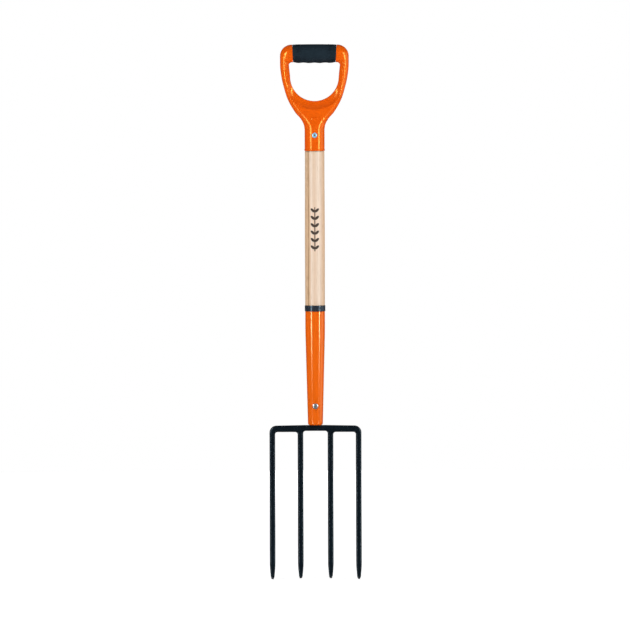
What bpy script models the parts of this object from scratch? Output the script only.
"""Long-handled digging fork: moulded D-handle with a soft grip, ash shaft, tapered steel ferrule and a
forged four-tine head.

Frame: the shaft stands along +Z, its axis is the Z axis, and z = 0 is the level of the outer tine tips.
The front of the fork faces -Y, and the head spreads along X. Metres throughout.
"""
import math

import bmesh
import bpy
from mathutils import Vector

# ---------------------------------------------------------------- driving dimensions
GAP = 0.0003                 # clearance kept between touching pieces

# forged head
TIP_LEVEL = 0.0              # outer tine tips
INNER_TIP_RISE = 0.0015      # the inner tines are a touch shorter
TINE_X = (0.0289, 0.0831)    # tine centre lines, inner and outer
TINE_HALF = 0.0051           # half the width of a tine
TINE_TAPER_Z = 0.029         # the point starts here
TINE_END_HALF = 0.0031       # half width where the point's rounding starts
BAR_TOP = 0.2958             # crossbar top beside the ferrule
TREAD_X = (0.021, 0.0770)    # straight foot tread on each side
TREAD_DROP = 0.0009          # fall of the tread towards its outer end
BAR_BOTTOM = 0.2827          # crossbar underside between inner and outer tines
BAR_BOTTOM_MID = 0.2848      # and between the inner tines
OUTER_CORNER_R = 0.0111
FILLET_R = 0.0048
HEAD_DEPTH = 0.0116          # crossbar front to back
TINE_DEPTH_RATIO = 0.90      # tines are a little thinner than the bar
EDGE_ROUND = 0.0025
TINE_SWEEP = 0.018           # how far the tips reach forwards
TINE_SLICES = 9              # levels at which the tines can bend

TANG_BASE = (0.0065, 0.0042)  # half width and half depth where it leaves the bar
TANG_TIP = (0.0032, 0.0026)
TANG_TOP_Z = 0.432

# ferrule
FERRULE_BOTTOM = BAR_TOP + GAP
FERRULE_MOUTH = 0.5152
FERRULE_R = 0.01885          # radius of the straight upper part
FERRULE_R_LOW = 0.0144       # radius just above the rounded foot
TAPER_TOP_Z = 0.478
TAPER_LOW_Z = 0.301
FERRULE_WALL = 0.0015
FERRULE_FOOT_ROUND = 0.0033
RIVET_Z = 0.333              # cross rivet through ferrule, shaft and tang
RIVET_R = 0.0030
RIVET_HEAD_R = 0.0056
RIVET_HEAD_H = 0.0026
PEEN_R = 0.0043
PEEN_H = 0.0018
WASHER_R = 0.0064
WASHER_T = 0.0012
HOLE_R = RIVET_R + GAP

# collar
COLLAR_R = 0.01985
COLLAR_TOP = 0.5266
COLLAR_GROOVES = 3
COLLAR_GROOVE_DEPTH = 0.00045

# shaft
SHAFT_R_LOW = 0.0189
SHAFT_R_MID = 0.01915
SHAFT_R_TOP = 0.0187
SHAFT_MID_Z = 0.66
SHAFT_SHOULDER = 0.5269      # step that rests on the collar
SHAFT_TENON_Z = 0.8237       # step under the D-handle's socket
TENON_R = 0.0158
TENON_TOP = 0.886
SHAFT_FOOT_Z = 0.3012

# D-handle
SOCKET_R = 0.0191
SOCKET_MOUTH = 0.8240
SOCKET_TOP = 0.8650          # the socket starts to open into the web here
SOCKET_BEAD = 0.0005         # bead round the socket's mouth
# half width of the handle against height, from the socket to the widest point of the arms
ARM_KNOTS = ((0.8650, 0.0191), (0.8746, 0.0208), (0.8862, 0.0272), (0.8978, 0.0373), (0.9209, 0.0506),
             (0.9440, 0.0583), (0.9670, 0.0636), (0.9920, 0.0660))
OPENING_R = 0.0466           # round lower half of the hand opening
OPENING_Z = 0.9660           # its centre
OPENING_TOP = 0.9938
OPENING_HALF_TOP = 0.0489    # half width just below the top corners
OPENING_CORNER_R = 0.0055
HANDLE_TOP = 1.0278
SHOULDER_X = 0.0440          # centre of the rounded shoulder
SHOULDER_Z = 1.0058
ARM_DEPTH = 0.0120           # half depth of the arms at their ridge
WEB_DEPTH = 0.0130
BAR_DEPTH = 0.0158           # half depth next to the grip
EDGE_HEIGHT = 0.0050         # half thickness at the rim of the hand opening
RIDGE_ARM = 0.0064           # distance from the opening to the ridge, on the arms
RIDGE_WEB = 0.0165           # and below the opening

# grip
GRIP_Z = 1.0106
GRIP_HALF_H = 0.0180
GRIP_HALF_D = 0.0160
GRIP_HALF_L = 0.0412         # at mid height
GRIP_END_SLOPE = 0.0445      # the ends lean outwards towards the top
GRIP_CROWN = 0.0007
FINGER_PITCH = 0.0205
FINGER_DEPTH = 0.0007
CORE_HALF_H = 0.0127
CORE_HALF_D = 0.0112
CORE_HALF_L = 0.0470

# blind rivet in the D-handle
PIN_Z = 0.8540
PIN_FLANGE_R = 0.0050
PIN_FLANGE_H = 0.0012
PIN_BODY_R = 0.0024
PIN_BORE_R = 0.00165
MANDREL_R = 0.00135
PIN_REAR_Y = -0.0075         # the rivet body ends here, inside the shaft
PIN_HOLE_REAR_Y = -0.0015


ROUND_STEPS = 36             # facets round the shaft, the ferrule and the collar
RIVET_STEPS = 24


# ---------------------------------------------------------------- helpers
def clear_scene():
    for obj in list(bpy.data.objects):
        bpy.data.objects.remove(obj, do_unlink=True)


def material(name, rgb, roughness, metallic=0.0):
    mat = bpy.data.materials.new(name)
    mat.use_nodes = True
    shader = mat.node_tree.nodes["Principled BSDF"]
    shader.inputs["Base Color"].default_value = (*rgb, 1.0)
    shader.inputs["Roughness"].default_value = roughness
    shader.inputs["Metallic"].default_value = metallic
    mat.diffuse_color = (*rgb, 1.0)
    return mat


def smoothstep(low, high, value):
    t = min(1.0, max(0.0, (value - low) / (high - low)))
    return t * t * (3.0 - 2.0 * t)


def lerp(a, b, t):
    return a + (b - a) * t


def arc(cx, cz, radius, start, end, steps):
    """Points on an arc, angles in degrees."""
    points = []
    for i in range(steps + 1):
        angle = math.radians(lerp(start, end, i / steps))
        points.append((cx + radius * math.cos(angle), cz + radius * math.sin(angle)))
    return points


def object_from(name, bm, mat=None, sharp=38.0):
    bmesh.ops.remove_doubles(bm, verts=bm.verts, dist=1e-7)
    bmesh.ops.recalc_face_normals(bm, faces=bm.faces)
    mesh = bpy.data.meshes.new(name)
    bm.to_mesh(mesh)
    bm.free()
    mesh.shade_smooth()
    mesh.set_sharp_from_angle(angle=math.radians(sharp))
    obj = bpy.data.objects.new(name, mesh)
    bpy.context.scene.collection.objects.link(obj)
    if mat is not None:
        mesh.materials.append(mat)
    return obj


def loft(rings, capped=True, closed=False):
    """Skin a list of equal rings of points; closed joins the last ring back to the first."""
    bm = bmesh.new()
    rows = [[bm.verts.new(p) for p in ring] for ring in rings]
    count = len(rows[0])
    pairs = list(zip(rows[:-1], rows[1:]))
    if closed:
        pairs.append((rows[-1], rows[0]))
    for low, high in pairs:
        for i in range(count):
            j = (i + 1) % count
            bm.faces.new((low[i], low[j], high[j], high[i]))
    if capped and not closed:
        bm.faces.new(rows[0][::-1])
        bm.faces.new(rows[-1])
    return bm


def turned(profile, steps, closed=False):
    """Turn (radius, height) points round Z; closed turns a ring with a bore."""
    rings = []
    for radius, height in profile:
        ring = []
        for i in range(steps):
            angle = 2.0 * math.pi * i / steps
            ring.append((radius * math.cos(angle), radius * math.sin(angle), height))
        rings.append(ring)
    return loft(rings, capped=not closed, closed=closed)


def cutter(name, bm):
    obj = object_from(name, bm)
    obj.hide_render = True
    obj.display_type = "WIRE"
    return obj


def boolean(obj, other, operation):
    mod = obj.modifiers.new(f"{operation.lower()} {other.name}", "BOOLEAN")
    mod.operation = operation
    mod.solver = "EXACT"
    mod.object = other


def face_forward(obj, height):
    """Stand a piece modelled along +Z on the shaft axis at a height, pointing to the front."""
    obj.location = (0.0, 0.0, height)
    obj.rotation_euler = (math.radians(90.0), 0.0, 0.0)


# ---------------------------------------------------------------- ferrule, collar and shaft
def ferrule_radius(z):
    """Outer radius of the ferrule: straight above, tapered below, eased between the two."""
    slope = (FERRULE_R - FERRULE_R_LOW) / (TAPER_TOP_Z - TAPER_LOW_Z)
    blend = 0.012
    offset = TAPER_TOP_Z - z
    if offset <= -blend:
        return FERRULE_R
    if offset >= blend:
        return FERRULE_R - slope * offset
    return FERRULE_R - slope * (offset + blend) ** 2 / (4.0 * blend)


def ferrule_side(inset, low, high):
    heights = [low, TAPER_TOP_Z - 0.012, TAPER_TOP_Z - 0.004, TAPER_TOP_Z + 0.004, TAPER_TOP_Z + 0.012, high]
    return [(ferrule_radius(z) - inset, z) for z in heights]


def build_ferrule(mat):
    foot_r = ferrule_radius(FERRULE_BOTTOM)
    outer = [(foot_r - FERRULE_FOOT_ROUND + x, FERRULE_BOTTOM + FERRULE_FOOT_ROUND + z)
             for x, z in arc(0.0, 0.0, FERRULE_FOOT_ROUND, -90.0, -6.0, 4)]
    outer += ferrule_side(0.0, FERRULE_BOTTOM + FERRULE_FOOT_ROUND, FERRULE_MOUTH)
    inner_round = FERRULE_FOOT_ROUND - FERRULE_WALL
    inner = [(foot_r - FERRULE_FOOT_ROUND + x, FERRULE_BOTTOM + FERRULE_FOOT_ROUND + z)
             for x, z in arc(0.0, 0.0, inner_round, -90.0, -6.0, 2)]
    inner += ferrule_side(FERRULE_WALL, FERRULE_BOTTOM + FERRULE_FOOT_ROUND, FERRULE_MOUTH)
    ferrule = object_from("ferrule", turned(outer + inner[::-1], ROUND_STEPS, closed=True), mat)
    boolean(ferrule, rivet_hole("ferrule_rivet_hole", HOLE_R), "DIFFERENCE")
    return ferrule


def rivet_hole(name, radius):
    hole = cutter(name, turned([(radius, -0.03), (radius, 0.03)], 16))
    face_forward(hole, RIVET_Z)
    return hole


def build_collar(mat):
    inner_r = FERRULE_R - FERRULE_WALL
    low = FERRULE_MOUTH + GAP
    edge = 0.0008
    outer = [(inner_r, low), (COLLAR_R - edge, low), (COLLAR_R, low + edge)]
    pitch = (COLLAR_TOP - low) / (COLLAR_GROOVES + 1)
    for i in range(1, COLLAR_GROOVES + 1):
        z = low + pitch * i
        outer += [(COLLAR_R, z - 0.0007), (COLLAR_R - COLLAR_GROOVE_DEPTH, z), (COLLAR_R, z + 0.0007)]
    outer += [(COLLAR_R, COLLAR_TOP - edge), (COLLAR_R - edge, COLLAR_TOP), (inner_r, COLLAR_TOP)]
    return object_from("collar", turned(outer, ROUND_STEPS, closed=True), mat, sharp=50.0)


def shaft_radius(z):
    if z < SHAFT_MID_Z:
        return lerp(SHAFT_R_LOW, SHAFT_R_MID, smoothstep(SHAFT_SHOULDER, SHAFT_MID_Z, z))
    return lerp(SHAFT_R_MID, SHAFT_R_TOP, smoothstep(SHAFT_MID_Z, 0.80, z))


def build_shaft(mat):
    inset = FERRULE_WALL + GAP
    foot_z = SHAFT_FOOT_Z
    profile = [(ferrule_radius(foot_z) - inset - 0.0022, foot_z)]
    profile += ferrule_side(inset, foot_z + 0.003, SHAFT_SHOULDER)
    profile += [(shaft_radius(SHAFT_SHOULDER) - 0.0004, SHAFT_SHOULDER)]
    steps = 8
    for i in range(steps + 1):
        z = lerp(SHAFT_SHOULDER + 0.0004, SHAFT_TENON_Z - 0.0005, i / steps)
        profile.append((shaft_radius(z), z))
    profile += [(SHAFT_R_TOP - 0.0005, SHAFT_TENON_Z), (TENON_R, SHAFT_TENON_Z),
                (TENON_R, TENON_TOP - 0.002), (TENON_R - 0.002, TENON_TOP)]
    shaft = object_from("shaft", turned(profile, ROUND_STEPS), mat)
    boolean(shaft, cutter("tang_mortise", tang(GAP, SHAFT_FOOT_Z - 0.004, TANG_TOP_Z + 0.002)), "DIFFERENCE")
    boolean(shaft, rivet_hole("shaft_rivet_hole", HOLE_R), "DIFFERENCE")
    pin_hole = cutter("shaft_pin_hole", turned([(PIN_BODY_R + GAP, -PIN_HOLE_REAR_Y),
                                                (PIN_BODY_R + GAP, 0.03)], 16))
    face_forward(pin_hole, PIN_Z)
    boolean(shaft, pin_hole, "DIFFERENCE")
    return shaft


# ---------------------------------------------------------------- forged head
def tine_half(z, tip):
    """Half width of a tine: full, then a slightly bulging point."""
    t = min(1.0, max(0.0, (z - tip) / (TINE_TAPER_Z - tip)))
    return lerp(TINE_END_HALF, TINE_HALF, math.sin(0.5 * math.pi * t) * 0.5 + 0.5 * t)


def tine_point(centre, tip, side):
    """Right-hand (side 1) or left-hand (side -1) edge of a point, from the tip upwards."""
    round_r = 0.0029
    points = [(centre + side * x, tip + z) for x, z in arc(0.0, round_r, round_r, -90.0, 0.0, 4)]
    for fraction in (0.25, 0.5, 0.75, 1.0):
        z = lerp(tip + round_r, TINE_TAPER_Z, fraction)
        points.append((centre + side * tine_half(z, tip), z))
    return points


def head_outline():
    """Closed outline of bar and tines in the XZ plane, counter-clockwise, as (x, z)."""
    inner, outer = TINE_X
    tread_end_z = BAR_TOP - TREAD_DROP
    half = [(0.0, BAR_BOTTOM_MID)]
    inner_tip = TIP_LEVEL + INNER_TIP_RISE
    half += arc(inner - TINE_HALF - FILLET_R, BAR_BOTTOM_MID - FILLET_R, FILLET_R, 90.0, 0.0, 5)
    half += tine_point(inner, inner_tip, -1)[::-1]
    half += tine_point(inner, inner_tip, 1)[1:]
    half += arc(inner + TINE_HALF + FILLET_R, BAR_BOTTOM - FILLET_R, FILLET_R, 180.0, 90.0, 5)
    half += arc(outer - TINE_HALF - FILLET_R, BAR_BOTTOM - FILLET_R, FILLET_R, 90.0, 0.0, 5)
    half += tine_point(outer, TIP_LEVEL, -1)[::-1]
    half += tine_point(outer, TIP_LEVEL, 1)[1:]
    half += arc(outer + TINE_HALF - OUTER_CORNER_R, tread_end_z - OUTER_CORNER_R, OUTER_CORNER_R,
                0.0, 90.0, 8)
    half += [(TREAD_X[0], BAR_TOP), (0.0, BAR_TOP)]
    mirrored = [(-x, z) for x, z in half[1:-1]][::-1]
    return half + mirrored


def sweep_forward(z):
    """How far the tines lean forwards at a height: a gentle curve that grows towards the tips."""
    t = max(0.0, (BAR_BOTTOM - z) / BAR_BOTTOM)
    return TINE_SWEEP * t ** 1.9


def head_body():
    bm = bmesh.new()
    front = [bm.verts.new((x, -0.5 * HEAD_DEPTH, z)) for x, z in head_outline()]
    face = bm.faces.new(front)
    grown = bmesh.ops.extrude_face_region(bm, geom=[face])
    back = [v for v in grown["geom"] if isinstance(v, bmesh.types.BMVert)]
    bmesh.ops.translate(bm, vec=Vector((0.0, HEAD_DEPTH, 0.0)), verts=back)
    bmesh.ops.recalc_face_normals(bm, faces=bm.faces)
    rims = [e for e in bm.edges if abs(e.verts[0].co.y - e.verts[1].co.y) < 1e-6]
    bmesh.ops.bevel(bm, geom=rims, offset=EDGE_ROUND, offset_type="OFFSET", segments=2, profile=0.5,
                    affect="EDGES", clamp_overlap=False)
    for level in range(TINE_SLICES):
        z = lerp(TINE_TAPER_Z, BAR_BOTTOM - FILLET_R, level / (TINE_SLICES - 1))
        bmesh.ops.bisect_plane(bm, geom=bm.verts[:] + bm.edges[:] + bm.faces[:], dist=1e-7,
                               plane_co=(0.0, 0.0, z), plane_no=(0.0, 0.0, 1.0))
    for vert in bm.verts:
        z = vert.co.z
        slim = lerp(TINE_DEPTH_RATIO, 1.0, smoothstep(BAR_BOTTOM - 0.02, BAR_BOTTOM, z))
        slim *= tine_half(z, TIP_LEVEL) / TINE_HALF
        vert.co.y = vert.co.y * slim - sweep_forward(z)
    return bm


def tang(grow, low, high):
    """Tapered square spike with bevelled corners, from z = low to z = high."""
    rings = []
    for z in (low, TANG_TOP_Z - 0.004 if high > TANG_TOP_Z - 0.004 else high, high):
        t = (z - BAR_TOP) / (TANG_TOP_Z - BAR_TOP)
        half_x = lerp(TANG_BASE[0], TANG_TIP[0], t) + grow
        half_y = lerp(TANG_BASE[1], TANG_TIP[1], t) + grow
        if z == high:
            half_x -= 0.0012
            half_y -= 0.0012
        cut = 0.0010
        rings.append([(half_x - cut, -half_y, z), (half_x, -half_y + cut, z), (half_x, half_y - cut, z),
                      (half_x - cut, half_y, z), (-half_x + cut, half_y, z), (-half_x, half_y - cut, z),
                      (-half_x, -half_y + cut, z), (-half_x + cut, -half_y, z)])
    return loft(rings)


def build_fork_head(mat):
    head = object_from("fork_head", head_body(), mat, sharp=45.0)
    boolean(head, cutter("tang_spike", tang(0.0, BAR_TOP - 0.006, TANG_TOP_Z)), "UNION")
    boolean(head, rivet_hole("tang_rivet_hole", HOLE_R), "DIFFERENCE")
    return head


# ---------------------------------------------------------------- rivets
def ferrule_shell(name, grow):
    """Solid slice of the ferrule's outside, grown outwards, that shapes pieces lying on it."""
    low, high = RIVET_Z - 0.014, RIVET_Z + 0.014
    profile = [(ferrule_radius(low) + grow, low), (ferrule_radius(high) + grow, high)]
    return cutter(name, turned(profile, ROUND_STEPS))


def build_ferrule_rivet(head_mat, washer_mat):
    surface = ferrule_radius(RIVET_Z)
    head_base = surface - 0.0022
    head_top = surface + RIVET_HEAD_H
    edge = surface + GAP + 0.0002
    dome = [(RIVET_HEAD_R, head_base), (RIVET_HEAD_R, edge)]
    for i in range(1, 6):
        angle = 0.5 * math.pi * i / 6
        dome.append((RIVET_HEAD_R * math.cos(angle), edge + (head_top - edge) * math.sin(angle)))
    dome.append((0.0004, head_top))
    rivet = object_from("ferrule_rivet", turned(dome, RIVET_STEPS), head_mat)
    face_forward(rivet, RIVET_Z)
    boolean(rivet, ferrule_shell("ferrule_under_head", GAP), "DIFFERENCE")
    shank_rear = -(surface + GAP + WASHER_T + 0.0012)
    shank = cutter("ferrule_rivet_shank", turned([(RIVET_R, shank_rear), (RIVET_R, head_top - 0.001)], 16))
    face_forward(shank, RIVET_Z)
    boolean(rivet, shank, "UNION")
    peen_base = surface + WASHER_T - 0.0004
    peen_top = surface + WASHER_T + 2.0 * GAP + PEEN_H
    peen = [(0.0004, -peen_top)]
    for i in range(5, 0, -1):
        angle = 0.5 * math.pi * i / 6
        peen.append((PEEN_R * math.cos(angle), -(peen_top - PEEN_H * (1.0 - math.sin(angle)))))
    peen += [(PEEN_R, -peen_top + PEEN_H), (PEEN_R, -peen_base)]
    peened = cutter("ferrule_rivet_peen", turned(peen, RIVET_STEPS))
    face_forward(peened, RIVET_Z)
    boolean(peened, ferrule_shell("ferrule_under_peen", WASHER_T + 2.0 * GAP), "DIFFERENCE")
    boolean(rivet, peened, "UNION")

    ring = [(HOLE_R, -surface - 0.004), (WASHER_R, -surface - 0.004), (WASHER_R, -surface + 0.004),
            (HOLE_R, -surface + 0.004)]
    washer = object_from("ferrule_rivet_washer", turned(ring, RIVET_STEPS, closed=True), washer_mat)
    face_forward(washer, RIVET_Z)
    boolean(washer, ferrule_shell("ferrule_under_washer", GAP), "DIFFERENCE")
    boolean(washer, ferrule_shell("washer_outside", GAP + WASHER_T), "INTERSECT")
    return rivet, washer


def build_handle_rivet(rivet_mat, mandrel_mat):
    top = SOCKET_R + GAP + PIN_FLANGE_H
    edge = SOCKET_R + GAP + 0.0003
    profile = [(PIN_BORE_R, SOCKET_R - 0.0016), (PIN_FLANGE_R, SOCKET_R - 0.0016), (PIN_FLANGE_R, edge)]
    for i in range(1, 5):
        angle = 0.5 * math.pi * i / 4
        radius = lerp(PIN_BORE_R + 0.0007, PIN_FLANGE_R, math.cos(angle))
        profile.append((radius, lerp(edge, top, math.sin(angle))))
    profile.append((PIN_BORE_R, top - 0.0005))
    rivet = object_from("handle_rivet", turned(profile, RIVET_STEPS, closed=True), rivet_mat)
    face_forward(rivet, PIN_Z)
    socket_form = cutter("socket_under_flange", turned([(SOCKET_R + GAP, PIN_Z - 0.012),
                                                        (SOCKET_R + GAP, PIN_Z + 0.012)], ROUND_STEPS))
    boolean(rivet, socket_form, "DIFFERENCE")
    tube = [(PIN_BORE_R, -PIN_REAR_Y), (PIN_BODY_R, -PIN_REAR_Y), (PIN_BODY_R, edge), (PIN_BORE_R, edge)]
    body = cutter("handle_rivet_body", turned(tube, RIVET_STEPS, closed=True))
    face_forward(body, PIN_Z)
    boolean(rivet, body, "UNION")

    ball_r = 0.0022
    neck = math.sqrt(ball_r ** 2 - MANDREL_R ** 2)
    centre = -PIN_REAR_Y - GAP - ball_r
    stub = [(0.0003, centre - ball_r + 0.00002)]
    for i in range(1, 5):
        angle = lerp(-90.0, math.degrees(math.asin(neck / ball_r)), i / 4)
        stub.append((ball_r * math.cos(math.radians(angle)), centre + ball_r * math.sin(math.radians(angle))))
    stub += [(MANDREL_R, top - 0.0016), (MANDREL_R - 0.0004, top - 0.0012)]
    mandrel = object_from("handle_rivet_mandrel", turned(stub, 16), mandrel_mat)
    face_forward(mandrel, PIN_Z)
    return rivet, mandrel


# ---------------------------------------------------------------- D-handle
def arm_half_width(z):
    """Outside of the handle against height: a smooth curve through the knots."""
    knots = ARM_KNOTS
    if z <= knots[0][0]:
        return knots[0][1]
    if z >= knots[-1][0]:
        return knots[-1][1]
    slopes = [0.0]
    for (z0, x0), (z1, x1) in zip(knots[:-2], knots[2:]):
        slopes.append((x1 - x0) / (z1 - z0))
    slopes.append(0.0)
    for i in range(len(knots) - 1):
        (z0, x0), (z1, x1) = knots[i], knots[i + 1]
        if z <= z1:
            span = z1 - z0
            t = (z - z0) / span
            return ((2 * t ** 3 - 3 * t ** 2 + 1) * x0 + (t ** 3 - 2 * t ** 2 + t) * span * slopes[i]
                    + (-2 * t ** 3 + 3 * t ** 2) * x1 + (t ** 3 - t ** 2) * span * slopes[i + 1])
    return knots[-1][1]


def point_on_arm(angle):
    """Outer point of the handle on a ray from the opening's centre; angle in radians below the X axis."""
    low, high = SOCKET_TOP, OPENING_Z
    for _ in range(40):
        middle = 0.5 * (low + high)
        if math.atan2(OPENING_Z - middle, arm_half_width(middle)) > angle:
            low = middle
        else:
            high = middle
    return (arm_half_width(low), low)


def handle_stations():
    """Pairs of inner and outer points round the right half of the D, from the top to the bottom middle."""
    stations = []
    for x in (0.0, 0.014, 0.028, 0.038):
        stations.append(((x, OPENING_TOP), (x, HANDLE_TOP), 1.0))
    corner_x = OPENING_HALF_TOP - OPENING_CORNER_R
    corner_z = OPENING_TOP - OPENING_CORNER_R
    shoulder_r = HANDLE_TOP - SHOULDER_Z
    corner = zip(arc(corner_x, corner_z, OPENING_CORNER_R, 90.0, 0.0, 8),
                 arc(SHOULDER_X, SHOULDER_Z, shoulder_r, 90.0, 0.0, 8))
    for i, (inner, outer) in enumerate(corner):
        stations.append((inner, outer, 1.0 - smoothstep(0.0, 8.0, i) * 0.85))
    for t in (0.35, 0.7, 1.0):
        inner_z = lerp(corner_z, OPENING_Z, t)
        outer_z = lerp(SHOULDER_Z, OPENING_Z, t)
        inner = (lerp(OPENING_HALF_TOP, OPENING_R, t), inner_z)
        stations.append((inner, (arm_half_width(outer_z), outer_z), 0.15 * (1.0 - t)))
    neck_angle = math.atan2(OPENING_Z - SOCKET_TOP, SOCKET_R)
    rays = 15
    for i in range(1, rays + 1):
        angle = neck_angle * i / rays
        inner = (OPENING_R * math.cos(angle), OPENING_Z - OPENING_R * math.sin(angle))
        stations.append((inner, point_on_arm(angle), 0.0))
    across = 7
    for i in range(1, across + 1):
        x = SOCKET_R * math.cos(0.5 * math.pi * i / across)
        angle = math.atan2(OPENING_Z - SOCKET_TOP, x)
        inner = (OPENING_R * math.cos(angle), OPENING_Z - OPENING_R * math.sin(angle))
        stations.append((inner, (x, SOCKET_TOP), 0.0))
    return stations, across


def distance_to(point, path):
    best = 1.0
    px, pz = point
    for (ax, az), (bx, bz) in zip(path[:-1], path[1:]):
        dx, dz = bx - ax, bz - az
        t = max(0.0, min(1.0, ((px - ax) * dx + (pz - az) * dz) / (dx * dx + dz * dz)))
        best = min(best, math.hypot(px - ax - t * dx, pz - az - t * dz))
    return best


def outside_path():
    """Outer outline of the right half, from the socket's mouth round to the top middle."""
    path = [(SOCKET_R, SOCKET_MOUTH)]
    for i in range(61):
        z = lerp(SOCKET_TOP, ARM_KNOTS[-1][0], i / 60)
        path.append((arm_half_width(z), z))
    path += arc(SHOULDER_X, SHOULDER_Z, HANDLE_TOP - SHOULDER_Z, 0.0, 90.0, 16)
    path.append((0.0, HANDLE_TOP))
    return path


def opening_path():
    path = [(0.0, OPENING_TOP)]
    path += arc(OPENING_HALF_TOP - OPENING_CORNER_R, OPENING_TOP - OPENING_CORNER_R, OPENING_CORNER_R,
                90.0, 0.0, 8)
    path += arc(0.0, OPENING_Z, OPENING_R, 0.0, -90.0, 36)
    return path


def handle_half_depth(point, lift, outside, opening):
    """Half thickness of the moulding: rounded outwards, chamfered down towards the hand opening."""
    x, z = point
    d_out = distance_to(point, outside)
    d_in = distance_to(point, opening)
    neck = 1.0 - smoothstep(SOCKET_TOP, SOCKET_TOP + 0.042, z)
    depth = lerp(lerp(WEB_DEPTH, ARM_DEPTH, smoothstep(0.905, 0.95, z)), SOCKET_R, neck)
    depth = lerp(depth, BAR_DEPTH, lift)
    rounding = lerp(lerp(0.0125, 0.0100, smoothstep(0.90, 0.94, z)), SOCKET_R, neck)
    rounding = lerp(rounding, 0.5 * (HANDLE_TOP - OPENING_TOP), lift)
    t = min(1.0, d_out / rounding)
    outer = depth * math.sqrt(max(0.0, 1.0 - (1.0 - t) ** 2))
    below = smoothstep(0.15, 1.0, (OPENING_Z - z) / OPENING_R)
    ridge = lerp(lerp(RIDGE_ARM, RIDGE_WEB, below), 0.5 * (HANDLE_TOP - OPENING_TOP), lift)
    t = min(1.0, d_in / ridge)
    straight = lerp(EDGE_HEIGHT, depth, t)
    rounded = lerp(EDGE_HEIGHT * (1.0 - lift), depth, math.sqrt(max(0.0, 1.0 - (1.0 - t) ** 2)))
    inner = lerp(straight, rounded, max(lift, 0.25))
    return min(outer, inner)


def handle_body():
    """The whole D as one skin: front and back faces that meet at the outline, then the round socket."""
    half, across = handle_stations()
    outside, opening = outside_path(), opening_path()
    fractions = (0.0, 0.12, 0.26, 0.40, 0.56, 0.70, 0.82, 0.91, 0.97, 1.0)
    last = len(half) - 1
    bm = bmesh.new()

    def surface(side, mirror, station, column):
        inner, outer, lift = half[station]
        t = fractions[column]
        point = (lerp(inner[0], outer[0], t), lerp(inner[1], outer[1], t))
        height = handle_half_depth(point, lift, outside, opening)
        if column == len(fractions) - 1 and station <= last - across:
            height = 0.0
        return bm.verts.new((mirror * point[0], side * height, point[1]))

    order = [(1, i) for i in range(last + 1)] + [(-1, i) for i in range(last - 1, 0, -1)]
    sheets = {}
    for side in (-1, 1):
        sheets[side] = [[surface(side, mirror, i, c) for c in range(len(fractions))] for mirror, i in order]
    count = len(order)
    for a in range(count):
        b = (a + 1) % count
        front, back = sheets[-1], sheets[1]
        for c in range(len(fractions) - 1):
            bm.faces.new((front[a][c], front[b][c], front[b][c + 1], front[a][c + 1]))
            bm.faces.new((back[a][c], back[a][c + 1], back[b][c + 1], back[b][c]))
        bm.faces.new((front[a][0], back[a][0], back[b][0], front[b][0]))
    bottom = [i for i, (_, s) in enumerate(order) if s >= last - across]
    rim = [sheets[-1][i][-1] for i in bottom] + [sheets[1][i][-1] for i in bottom[-2:0:-1]]
    lower = rim
    levels = ((SOCKET_R, SOCKET_MOUTH + 0.0032), (SOCKET_R + SOCKET_BEAD, SOCKET_MOUTH + 0.0024),
              (SOCKET_R + SOCKET_BEAD, SOCKET_MOUTH + 0.0006), (SOCKET_R, SOCKET_MOUTH))
    for radius, z in levels:
        ring = []
        for vert in rim:
            scale = radius / math.hypot(vert.co.x, vert.co.y)
            ring.append(bm.verts.new((vert.co.x * scale, vert.co.y * scale, z)))
        for i in range(len(rim)):
            j = (i + 1) % len(rim)
            bm.faces.new((lower[i], lower[j], ring[j], ring[i]))
        lower = ring
    bm.faces.new(lower)
    bmesh.ops.remove_doubles(bm, verts=bm.verts, dist=2e-6)
    return bm


def grip_end(z):
    """Half length of the grip at a height."""
    return GRIP_HALF_L + GRIP_END_SLOPE * (z - GRIP_Z)


def oval(half_y, half_z, count, power=2.3):
    """Closed superellipse in the YZ plane about the origin."""
    ring = []
    for i in range(count):
        angle = 2.0 * math.pi * (i + 0.5) / count
        c, s = math.cos(angle), math.sin(angle)
        ring.append((math.copysign(abs(c) ** (2.0 / power), c) * half_y,
                     math.copysign(abs(s) ** (2.0 / power), s) * half_z))
    return ring


def grip_slot():
    """Wedge that clears the space between the shoulders for the grip."""
    low, high = GRIP_Z - 0.026, GRIP_Z + 0.026
    rings = []
    for y in (-0.03, 0.03):
        rings.append([(-grip_end(low) - GAP, y, low), (grip_end(low) + GAP, y, low),
                      (grip_end(high) + GAP, y, high), (-grip_end(high) - GAP, y, high)])
    return loft(rings)


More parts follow.
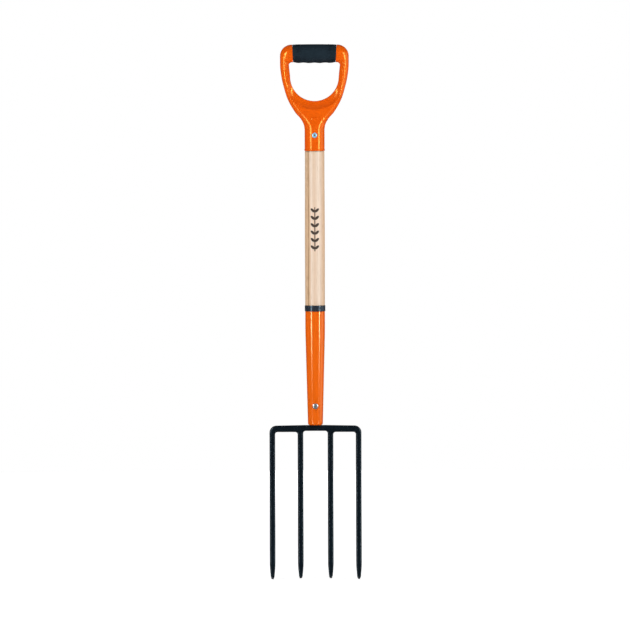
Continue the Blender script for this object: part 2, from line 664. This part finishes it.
def build_d_handle(mat):
    handle = object_from("d_handle", handle_body(), mat, sharp=40.0)
    boolean(handle, cutter("grip_slot", grip_slot()), "DIFFERENCE")
    section = oval(CORE_HALF_D, CORE_HALF_H, 28)
    core = loft([[(x, y, GRIP_Z + z) for y, z in section] for x in (-CORE_HALF_L, CORE_HALF_L)])
    boolean(handle, cutter("core_bar", core), "UNION")
    bore_r = TENON_R + GAP
    bore_profile = [(bore_r, SOCKET_MOUTH - 0.01), (bore_r, TENON_TOP + 0.0005),
                    (bore_r - 0.002, TENON_TOP + 0.002)]
    bore = cutter("socket_bore", turned(bore_profile, ROUND_STEPS))
    boolean(handle, bore, "DIFFERENCE")
    pin_hole = cutter("socket_pin_hole", turned([(PIN_BODY_R + GAP, 0.010), (PIN_BODY_R + GAP, 0.03)], 16))
    face_forward(pin_hole, PIN_Z)
    boolean(handle, pin_hole, "DIFFERENCE")
    return handle


def build_soft_grip(mat):
    """Sleeve with a slight crown on top and finger swells along its underside."""
    count = 28
    outer_oval = oval(GRIP_HALF_D, GRIP_HALF_H, count)
    inner_oval = oval(CORE_HALF_D + GAP, CORE_HALF_H + GAP, count)
    steps = 24
    outer, inner = [], []
    for i in range(steps + 1):
        t = lerp(-1.0, 1.0, i / steps)
        ring = []
        for y, z in outer_oval:
            x = t * grip_end(GRIP_Z + z)
            under = smoothstep(0.0, 1.0, -z / GRIP_HALF_H)
            over = smoothstep(0.0, 1.0, z / GRIP_HALF_H)
            wave = FINGER_DEPTH * math.cos(2.0 * math.pi * x / FINGER_PITCH) + 0.0016 * abs(t) ** 5
            ring.append((x, y, GRIP_Z + z + under * wave - over * GRIP_CROWN * t * t))
        outer.append(ring)
        inner.append([(t * grip_end(GRIP_Z + z), y, GRIP_Z + z) for y, z in inner_oval])
    return object_from("soft_grip", loft(outer + inner[::-1], closed=True), mat, sharp=50.0)


# ---------------------------------------------------------------- the whole fork
def main():
    clear_scene()
    orange_plastic = material("orange plastic", (0.83, 0.115, 0.006), 0.32)
    orange_paint = material("orange paint", (0.83, 0.115, 0.006), 0.25)
    soft_rubber = material("soft black rubber", (0.018, 0.026, 0.034), 0.62)
    ash = material("ash wood", (0.78, 0.62, 0.46), 0.48)
    black_plastic = material("black plastic", (0.012, 0.013, 0.016), 0.22)
    forged = material("black lacquered steel", (0.012, 0.020, 0.027), 0.35, 0.2)
    bright = material("bright rivet metal", (0.72, 0.76, 0.80), 0.28, 1.0)
    dull = material("dull steel", (0.20, 0.22, 0.25), 0.45, 1.0)

    build_fork_head(forged)
    build_ferrule(orange_paint)
    build_collar(black_plastic)
    build_shaft(ash)
    build_ferrule_rivet(bright, bright)
    build_handle_rivet(bright, dull)
    build_d_handle(orange_plastic)
    build_soft_grip(soft_rubber)


main()
